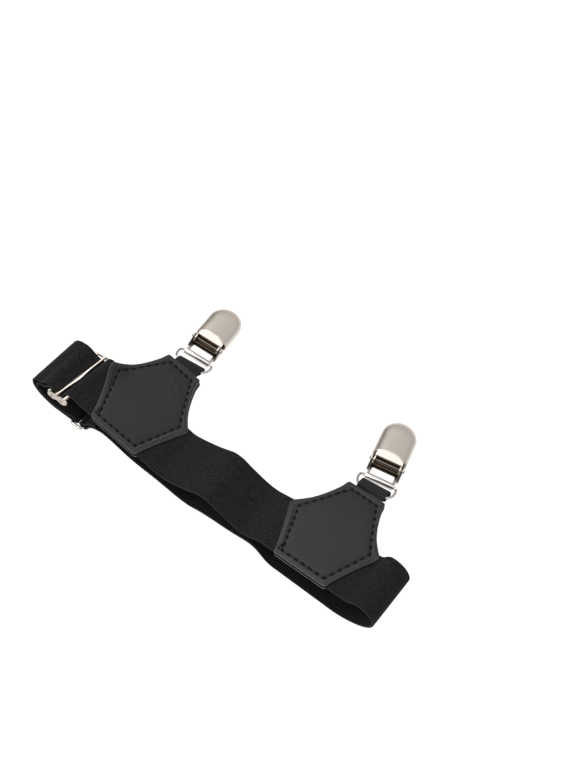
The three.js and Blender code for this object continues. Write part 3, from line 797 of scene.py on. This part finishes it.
def add_stitches(name, word, side):
    """Running stitches along the seam, each dipping into its two holes."""
    parts = []
    shares = np.linspace(0, 1, 13)
    arch = np.clip(np.minimum(shares, 1 - shares) / 0.2, 0, 1) ** 1.5
    lift = LEATHER["thick"] + SEAM_LEVEL - 0.07 * arch
    for start, end in stitch_spans():
        x, y = (start + (end - start) * shares[:, None]).T
        path = leather_point(PATCHES[name], x, y, side, lift)
        parts.append(tube(path, 0.13 + 0.36 * (1 - arch), 10))
    piece = mesh_object(f"patch_{name}_{word}_stitches", *joined(parts), THREAD, "webbing")
    finished(piece, angle=60)


for patch_name in PATCHES:
    for facing, sign in FACINGS.items():
        add_leather(patch_name, facing, sign)
        add_stitches(patch_name, facing, sign)


# The tabs


def tab_profile(neck, dip):
    """The webbing's middle line round the ring, as (y, z), from the sewn tail and back to it."""
    lift = TAB["lift"]
    radius = (TAB["height"] - TAB["wall"]) / 2
    tail = [(-run * math.cos(dip), -run * math.sin(dip) + lift) for run in (TAB["tail"], 2.0)]
    top = tail + [(0.2, lift), (neck * 0.9, lift + 0.02)]
    shoulder_y, shoulder_z = neck + TAB["flare"] + 0.2, radius * 0.9
    half_turn = np.linspace(math.pi / 2, -math.pi / 2, 7)
    bend = circle(radius, half_turn, TAB["end"] - TAB["height"] / 2)
    under = [(y, z - 2 * lift) for y, z in top[::-1]]
    return [*top, (shoulder_y, shoulder_z), *bend, (shoulder_y, -shoulder_z), *under]


def tab_half_thickness(x):
    return TAB["half_thick"] * np.sqrt(np.clip(1 - (np.abs(x) / (TAB["width"] / 2)) ** 16, 0, 1))


def tab_place(patch):
    spec = patch["tab"]
    x = patch["x"] + spec["shift"]
    turn = rotation("YX", (-math.degrees(math.atan(patch["slope"])), -spec["dip"]))
    return turn, (x, TAB_ROOT, float(patch_height(patch, x, TAB_ROOT)))


def add_tab(name):
    """The webbing, skewed from its tail on and twisted where it flares."""
    patch = PATCHES[name]
    spec = patch["tab"]
    leather_dip = math.atan(2 * patch["droop"] / (PATCH_TOP - BAND_WIDTH / 2) - patch["lean"])
    dip = math.radians(spec["dip"]) - leather_dip
    line = smooth_curve(tab_profile(spec["neck"], dip), False, 6)
    ahead = unit(np.gradient(line, axis=0))
    length = run_length(line)
    ring_x, ring_h = strip_section(TAB["width"], 26, tab_half_thickness)
    flare = spec["neck"] + TAB["flare"]
    points, cloth = [], []
    for k, ((y, z), (ay, az)) in enumerate(zip(line, ahead)):
        for x, h in zip(ring_x, ring_h):
            py, pz = y - az * h, z + ay * h
            skew = spec["skew"] * share_of(py, -TAB["tail"], flare)
            twist = spec["twist"] * share_of(py, spec["neck"], flare)
            points.append((x, py + skew * x, pz + twist * x))
            cloth.append((length[k], x, h))
    points = placed(points, *tab_place(patch))
    faces = closed_faces(len(line), len(ring_x))
    piece = mesh_object(f"tab_{name}_webbing", points, faces, WEBBING, "webbing",
                        attributes={"cloth": cloth})
    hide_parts(f"tab_{name}")


for patch_name in PATCHES:
    add_tab(patch_name)


# Wire rings


def clip_place(name):
    spec = PATCHES[name]["clip"]
    return rotation("ZXY", (spec["turn"], -spec["dip"], spec["roll"])), np.array(spec["at"])


def d_ring_path():
    """The straight bar from left to right, then the bow back round to it."""
    half, depth, power = D_RING["half_width"], D_RING["depth"], D_RING["squareness"]
    loop = [(x, 0.0) for x in (-7.2, -5.6, 0.0, 5.6, 7.2)]
    bow = [(0.955 * half, -0.6), (half, -2.6)]
    for share in (0.93, 0.76, 0.45, 0.0):
        bow.append((share * half, -depth * (1 - share**power) ** (1 / power)))
    loop += bow + [(-x, y) for x, y in bow[-2::-1]]
    return smooth_curve([(x, y, 0) for x, y in loop], True, 8)


def add_ring(node, path, radius):
    """A closed ring of round wire."""
    points, faces = tube(path, radius, 18, closed=True)
    piece = mesh_object(f"{node}_wire", points, faces, BRIGHT, "nickel")
    finished(piece, angle=50)
    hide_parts(node)


def add_d_ring(name):
    patch = PATCHES[name]
    spec = patch["ring"]
    turn = rotation("XZ", (patch["clip"]["dip"] - spec["dip"], spec["turn"]))
    at = (spec["shift"], CLIP["roll_y"], PLATE_BOTTOM + CLIP["roll_radius"])
    path = placed(d_ring_path(), turn, at)
    add_ring(f"d_ring_{name}", placed(path, *clip_place(name)), D_RING["wire"])


def rounded_box(x0, x1, y0, y1, radius, steps):
    """A rectangle with round corners, as (x, y)."""
    loop = []
    quarter = np.linspace(0, 90, steps)
    right, left, top, bottom = x1 - radius, x0 + radius, y1 - radius, y0 + radius
    centres = ((right, top), (left, top), (left, bottom), (right, bottom))
    for k, (x, y) in enumerate(centres):
        loop += circle(radius, np.radians(90 * k + quarter), x, y)
    return loop


def add_strap_ring():
    """A rectangle of wire with tight corners."""
    half_x, half_y = STRAP_RING["span_x"] / 2, STRAP_RING["span_y"] / 2
    loop = np.array(rounded_box(-half_x, half_x, -half_y, half_y, STRAP_RING["corner"], 9))
    path = []
    for here, after in zip(loop, np.roll(loop, -1, 0)):
        steps = max(1, int(math.dist(here, after) / 0.6))
        path += [(*(here + (after - here) * k / steps), 0) for k in range(steps)]
    path = np.array(path) + (STRAP_RING["x"], 0, STRAP_RING["z"])
    add_ring("strap_ring", path, STRAP_RING["wire"])


add_strap_ring()
for patch_name in PATCHES:
    add_d_ring(patch_name)


# The slide


def end_plate():
    """One end plate lying flat: two lobes with a neck between them, dished once in each lobe."""
    right, left = SLIDE["lobes"]
    columns, around = 72, 56
    low = left["x"] - left["half_long"]
    high = right["x"] + right["half_long"]
    angles = full_turn(around)
    rings = []
    dimples = []
    for x in (low + high) / 2 + (high - low) / 2 * crowded(columns):
        width = max(SLIDE["neck"] * math.exp(-((x / 2.6) ** 4)), 0.02)
        for lobe in (right, left):
            along = (x - lobe["x"]) / lobe["half_long"]
            width = max(width, lobe["half_wide"] * math.sqrt(max(1 - along**2, 0)))
        share = share_of(x, left["x"], right["x"])
        middle = left["half_wide"] * (1 - share) + right["half_wide"] * share - SLIDE["tuck"]
        thick = SLIDE["thick"] / 2 * min(1, (width / 0.5) ** 0.5)
        across = middle + width * signed_power(np.cos(angles), 0.7)
        height = thick * signed_power(np.sin(angles), 0.5)
        dish = [np.hypot(x - lobe["x"] + 0.4, across - middle - 0.35) for lobe in (right, left)]
        dimple = np.where(height > 0, bell(np.min(dish, axis=0), 0.55), 0)
        height = height - SLIDE["dimple"] * dimple
        rings.append(np.column_stack([np.full(around, x), across, height]))
        dimples.append(dimple)
    return np.concatenate(rings), closed_faces(columns, around), np.concatenate(dimples)


def add_slide():
    """Three bars between two bent end plates; the middle bar swells to a lens."""
    turn = rotation("ZYX", (SLIDE["yaw"], SLIDE["pitch"], SLIDE["roll"]))
    bend = math.radians(SLIDE["bend"])
    flat, plate_faces, dimples = end_plate()
    x, t, n = flat.T
    y = SLIDE["start"] + t * math.cos(bend) + n * math.sin(bend)
    bent = np.column_stack([x, y, n * math.cos(bend) - t * math.sin(bend)])
    parts = [(bent, plate_faces), (bent * (1, -1, 1), flipped(plate_faces))]
    reach = SLIDE["reach"]
    inner = np.linspace(-reach + 0.35, reach - 0.35, 30)
    ys = np.concatenate([[-reach, -reach + 0.1], inner, [reach - 0.1, reach]])
    from_end = reach - np.abs(ys)
    bar = SLIDE["bar"] * np.where(from_end < 0.05, 0.45, np.where(from_end < 0.2, 0.82, 1))
    lens = bell(ys, SLIDE["lens_length"], SLIDE["lens_y"])
    middle_bar = bar * (0.82 + 0.18 * lens + 0.7 * bell(from_end, 1.9))
    sides = 24
    for x, radii in ((-SLIDE["span"], bar), (0, middle_bar), (SLIDE["span"], bar)):
        points, faces = tube([(0, y, 0) for y in ys], radii, sides)
        if x == 0:
            points[:, 0] *= 0.9 + 1.1 * np.repeat(lens, sides)
        parts.append((points + (x, 0, 0), faces))
    points, faces = joined(parts)
    # painted shade: each end plate's dimples are painted deep brown through "inside", as much as
    # they are dished
    painted_dimple_shade = np.zeros(len(points))
    painted_dimple_shade[:2 * len(dimples)] = np.tile(dimples, 2)
    points = placed(points, turn, SLIDE["at"])
    piece = mesh_object("slide_metal", points, faces, WORN, "nickel", attributes={"inside": painted_dimple_shade})
    finished(piece, angle=40)
    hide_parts("slide")


add_slide()


# The clips


def soft_min(a, b, blend):
    """The smaller of two heights, rounded where they cross."""
    h = np.clip(0.5 + 0.5 * (b - a) / blend, 0, 1)
    return b * (1 - h) + a * h - blend * h * (1 - h)


def hood_surface(inset):
    """The hood's skin from one mouth corner round its tip to the other, rim first, spine last."""
    side = CLIP["hood_half"] - inset
    end_length = CLIP["hood_end"] - CLIP["hood_round"] - inset
    wall_top = CLIP["wall_top"]
    height = CLIP["crown"] - inset - wall_top
    walk = np.linspace(CLIP["hood_start"], CLIP["hood_round"], 17)[:-1]
    stations = [(-1, 0, y) for y in walk]
    stations += [(x, y, CLIP["hood_round"]) for x, y in circle(1, np.linspace(math.pi, 0, 45))]
    stations += [(1, 0, y) for y in walk[::-1]]
    walls = np.linspace(CLIP["rim"], wall_top, 6)[:-1]
    rows = []
    for across, forth, base in stations:
        row = [(across * side, base + forth * end_length, z) for z in walls]
        for a in np.linspace(math.pi / 2, 0, 26):
            share = math.sin(a) ** (2 / HOOD_ACROSS)
            z = wall_top + height * max(math.cos(a), 0) ** (2 / HOOD_RISE)
            row.append((across * side * share, base + forth * end_length * share, z))
        rows.append(row)
    points = np.array(rows)
    z = points[..., 2]
    facet = facet_height(points[..., 1]) - inset
    points[..., 2] = np.where(z > wall_top - 1, soft_min(z, facet, 0.22), z)
    return points


def hood_shell():
    """The hood's outer and inner skin, joined along its rim and its mouth."""
    outer = hood_surface(0.0)
    inner = hood_surface(CLIP["sheet"])
    rows, columns = outer.shape[:2]
    count = rows * columns
    points = np.concatenate([outer.reshape(-1, 3), inner.reshape(-1, 3)])
    faces = two_skins(rows, columns)
    edges = [(i * columns, (i + 1) * columns) for i in range(rows - 1)]
    for start in (0, (rows - 1) * columns):
        edges += [(start + j, start + j + 1) for j in range(columns - 1)]
    faces += [(a, b, count + b, count + a) for a, b in edges]
    return points, faces


def hood_section(x):
    """How high the hood stands at x, away from its rounded end."""
    share = np.clip(np.abs(x) / CLIP["hood_half"], 0, 1)
    rise = np.cos(np.arcsin(share ** (HOOD_ACROSS / 2))) ** (2 / HOOD_RISE)
    return CLIP["wall_top"] + (CLIP["crown"] - CLIP["wall_top"]) * rise


def curl_strip():
    """The curled sheet across the clip. Its facet end sinks with the hood that it runs into."""
    profile = curl_profile()
    steps = 40
    points, faces = extruded_x(profile, CLIP["lever_half"], steps)
    under = np.tile(np.arange(len(profile)) == len(profile) - 1, steps + 1)
    limit = hood_section(points[:, 0]) - 0.05 - CLIP["sheet"] * under
    z = points[:, 2]
    points[:, 2] = np.where(points[:, 1] > FACET["y"] + 0.5, np.minimum(z, limit), z)
    return points, faces


def facet_height(y):
    return FACET["z"] + (y - FACET["y"]) * FACET["slope"]


def nose(outer, inner, tip, turns):
    """The round edge of a rolled sheet that ends at the angle tip."""
    y, z = circle((outer + inner) / 2, [tip])[0]
    return circle((outer - inner) / 2, tip - turns, y, z)


def curl_profile():
    """The sheet as (y, z): its upper side comes down the facet, folds and lines the hollow."""
    outer, inner = CLIP["curl"], CLIP["curl"] - CLIP["sheet"]
    top_y = CLIP["hood_start"] + 1.0
    arc = np.radians(np.linspace(12, -142, 30))
    loop = [(y, facet_height(y)) for y in np.linspace(top_y, FACET["y"] + 0.1, 12)]
    loop.append(FOLD)
    loop += circle(inner, arc)
    loop += nose(outer, inner, arc[-1], np.linspace(math.pi - 0.4, 0.4, 6))
    loop += circle(outer, arc[::-1])
    loop.append((top_y, facet_height(top_y) - CLIP["sheet"]))
    return loop


def cheek(x):
    """A round cheek across x with a hole for the pin."""
    outline = circle(CLIP["curl"] - 0.1, full_turn(40))
    hole = circle(CLIP["pin"] + 0.25, full_turn(20))
    return across_x(plate(outline, hole, CLIP["sheet"], 0.1), x)


def painted_shade_share(points):
    """1 for the points of a lever in the hollow round its pin, which the light hardly reaches."""
    x, y, z = np.asarray(points, float).T
    aside = np.abs(x)
    radius = np.hypot(y, z)
    lip = (np.degrees(np.arctan2(z, y)) < -112) & (radius < CLIP["curl"] + 0.1)
    under_fold = np.hypot(y - FOLD[0], z - FOLD[1]) < 0.01
    near_pin = lip | under_fold | (radius < CLIP["curl"] - CLIP["sheet"] + 0.06)
    wall = CLIP["lever_half"] - CLIP["sheet"]
    on_cheek = (radius < CLIP["curl"] + 0.05) & (aside > wall - 0.2) & (aside < wall + 0.05)
    below_fold = (y < FACET["y"]) | (z < FACET["z"] - CLIP["sheet"] + 0.2)
    inside = (aside < CLIP["ear_inner"] + 0.1) & (near_pin | on_cheek) & below_fold
    return inside.astype(float)


def add_clip_part(name, part, shape, inside, material, body=ROOT, rounding=0.0):
    """One metal piece of a clip, from points in the clip's own frame; inside is each point's share
    of painted shade.
    """
    points, faces = shape
    points = placed(points, *clip_place(name))
    piece = mesh_object(f"clip_{name}_{part}_metal", points, faces, material, "nickel", body=body,
                        attributes={"inside": inside})
    finished(piece, rounding)
    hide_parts(f"clip_{name}_{part}")


def add_lever(name):
    middle = CLIP["lever_half"] - CLIP["sheet"] / 2 - CLIP["cheek_inset"]
    shape = joined([hood_shell(), curl_strip(), cheek(-middle), cheek(middle)])
    # painted shade: the hollow round the pin, the lip and the inner cheeks are painted deep brown
    # through "inside"
    inside = painted_shade_share(shape[0])
    add_clip_part(name, "lever", shape, inside, SATIN, body=f"lever_{name}", rounding=0.1)


def frame_outline():
    """The frame plate's outline, round from its rolled end."""
    ear = CLIP["ear_inner"] + CLIP["sheet"]
    tip = CLIP["plate_half"]
    half = CLIP["roll_half"]
    round_y = CLIP["hood_round"]
    low, high = CLIP["ear_low"], CLIP["ear_high"]
    right = [(half, CLIP["roll_y"]), (half, low - 1.2), (half + 0.35, low - 0.6), (ear, low)]
    right += [(ear, high), (tip, high + 0.8), (tip, round_y)]
    bow = [(tip * x, round_y + (CLIP["plate_end"] - round_y) * y)
           for x, y in circle(1, np.linspace(0, math.pi, 37)[1:-1])]
    return right + bow + [(-x, y) for x, y in right[::-1]]


def ear_parts():
    """Two upright ears that hold the pin."""
    low, high = CLIP["ear_low"], CLIP["ear_high"]
    arc = np.radians(np.linspace(0, 150, 20))
    outline = [(high, PLATE_BOTTOM), (high - 0.4, -1.4), *circle(CLIP["ear_radius"], arc)]
    outline += [(low + 1.2, -0.9), (low, CLIP["plate_top"] + 0.2), (low, PLATE_BOTTOM)]
    ear = plate(outline, circle(CLIP["ear_bore"], full_turn(20)), CLIP["sheet"], 0.16)
    x = CLIP["ear_inner"] + CLIP["sheet"] / 2
    return [across_x(ear, -x), across_x(ear, x)]


def roll_profile():
    """The plate's end rolled up and over towards the window, nearly closed."""
    outer, inner = CLIP["roll_radius"], CLIP["roll_hollow"]
    arc = np.radians(np.linspace(-90, -372, 54))
    edge = nose(outer, inner, arc[-1], np.linspace(0.4, math.pi - 0.4, 5))
    loop = circle(outer, arc) + edge + circle(inner, arc[::-1])
    return [(CLIP["roll_y"] + y, PLATE_BOTTOM + outer + z) for y, z in loop]


def add_frame(name):
    window = rounded_box(*CLIP["window"], CLIP["window_corner"], 6)
    points, faces = plate(frame_outline(), window, CLIP["sheet"], 0.2)
    base = (points + (0, 0, CLIP["plate_top"] - CLIP["sheet"] / 2), faces)
    shape = joined([base, *ear_parts(), extruded_x(roll_profile(), CLIP["roll_half"])])
    x, y, _ = shape[0].T
    # painted shade: the plate between the ears and the ears' inner faces, round the pin, are
    # painted deep brown through "inside"
    painted_arm_shade = (y > CLIP["ear_low"] - 0.2) & (y < CLIP["ear_high"] + 0.1)
    painted_arm_shade &= np.abs(x) < CLIP["ear_inner"] + 0.2
    add_clip_part(name, "frame", shape, painted_arm_shade.astype(float), BRIGHT, rounding=0.07)


def add_pin(name):
    head_start = CLIP["ear_inner"] + CLIP["sheet"] + 0.2
    reach = head_start + 0.5
    parts = [rod_x(CLIP["pin"], -reach, reach, rings=33)]
    for low, high in ((-reach, -head_start), (head_start, reach)):
        parts.append(rod_x(CLIP["pin_head"], low, high, bevel=0.16))
    shape = joined(parts)
    # painted shade: the pin between the ears is painted 0.85 of the way to deep brown
    painted_pin_shade = np.abs(shape[0][:, 0]) < CLIP["ear_inner"] - 0.2
    add_clip_part(name, "pin", shape, 0.85 * painted_pin_shade, BRIGHT)


for patch_name in PATCHES:
    add_lever(patch_name)
    add_frame(patch_name)
    add_pin(patch_name)


# Floor, light and camera


def add_floor():
    half, drop = 3.0, -0.00005
    mesh = bpy.data.meshes.new("floor")
    corners = [(-half, -half, drop), (half, -half, drop), (half, half, drop), (-half, half, drop)]
    mesh.from_pydata(corners, [], [(0, 1, 2, 3)])
    floor = linked("floor", mesh)
    s = Shader("pale_floor", (0.12, 0.12, 0.12), 0.9,
               Specular_IOR_Level=0.03, Emission_Strength=0.97, Emission_Color=(1, 1, 1, 1))
    mesh.materials.append(s.material)


def add_key_light():
    """A round lamp above and behind the part, to its left, that shines at its middle."""
    place = Vector((-0.5, 0.35, 0.85))
    data = bpy.data.lights.new("key", "AREA")
    data.shape = "DISK"
    data.size = 0.6
    data.energy = 3.0
    lamp = linked("key", data)
    lamp.location = place
    lamp.rotation_mode = "QUATERNION"
    lamp.rotation_quaternion = (-place).to_track_quat("-Z", "Y")


# Patches of sky as (direction, cosine where it starts, cosine where it is full, brightness factor):
# behind the viewer, the hoods' upper left, what the hoods' facets reflect, and the leather's gloss.
SKY_PATCHES = (
    ((0.45, -0.72, 0.52), 0.8, 0.95, 0.12),
    ((-0.84, 0.44, 0.32), 0.88, 0.985, 0.35),
    ((-0.36, -0.53, 0.77), 0.86, 0.95, 2.25),
    ((-0.66, 0.06, 0.75), 0.9, 0.98, 1.8),
)


def add_world():
    """A white tent that is bright overhead, with brighter and darker patches."""
    world = bpy.data.worlds.new("studio")
    bpy.context.scene.world = world
    world.use_nodes = True
    tree = world.node_tree

    def ranged(value, low, high, start, end):
        inputs = {"Value": value, 1: low, 2: high, 3: start, 4: end}
        return add_node(tree, "ShaderNodeMapRange", inputs).outputs[0]

    def combined(operation, a, b):
        return add_node(tree, "ShaderNodeMath", {0: a, 1: b}, operation=operation).outputs[0]

    way = add_node(tree, "ShaderNodeTexCoord").outputs["Generated"]
    height = add_node(tree, "ShaderNodeSeparateXYZ", {0: way}).outputs["Z"]
    overhead = ranged(height, 0.72, 0.88, 0.0, 0.95)
    light = combined("ADD", ranged(height, 0.02, 0.4, 0.5, 0.82), overhead)
    for aim, outer, inner, factor in SKY_PATCHES:
        inputs = {0: way, 1: tuple(Vector(aim).normalized())}
        facing = add_node(tree, "ShaderNodeVectorMath", inputs, operation="DOT_PRODUCT")
        share = ranged(facing.outputs["Value"], outer, inner, 1.0, factor)
        light = combined("MULTIPLY", light, share)
    background = tree.nodes["Background"]
    background.inputs["Color"].default_value = (1, 1, 1, 1)
    tree.links.new(light, background.inputs["Strength"])


def add_camera():
    """The photo's view: fitted from the points of the suspender that it shows."""
    elevation, azimuth, distance = 0.9601, 0.6707, 488.3
    focal_px, long_side_px = 1058.06, 768
    look_at = np.array([85.81, 63.81, 0.0]) + SHIFT
    level = math.cos(elevation)
    back = Vector((math.sin(azimuth) * level, -math.cos(azimuth) * level, math.sin(elevation)))
    data = bpy.data.cameras.new("photo_view")
    data.sensor_width = 36
    data.lens = focal_px / long_side_px * data.sensor_width
    data.clip_start = 0.01
    camera = linked("photo_view", data)
    camera.location = Vector(look_at * MM) + back * distance * MM
    camera.rotation_mode = "QUATERNION"
    camera.rotation_quaternion = (-back).to_track_quat("-Z", "Y")
    bpy.context.scene.camera = camera


add_floor()
add_world()
add_key_light()
add_camera()
bpy.context.scene.view_settings.view_transform = "Standard"
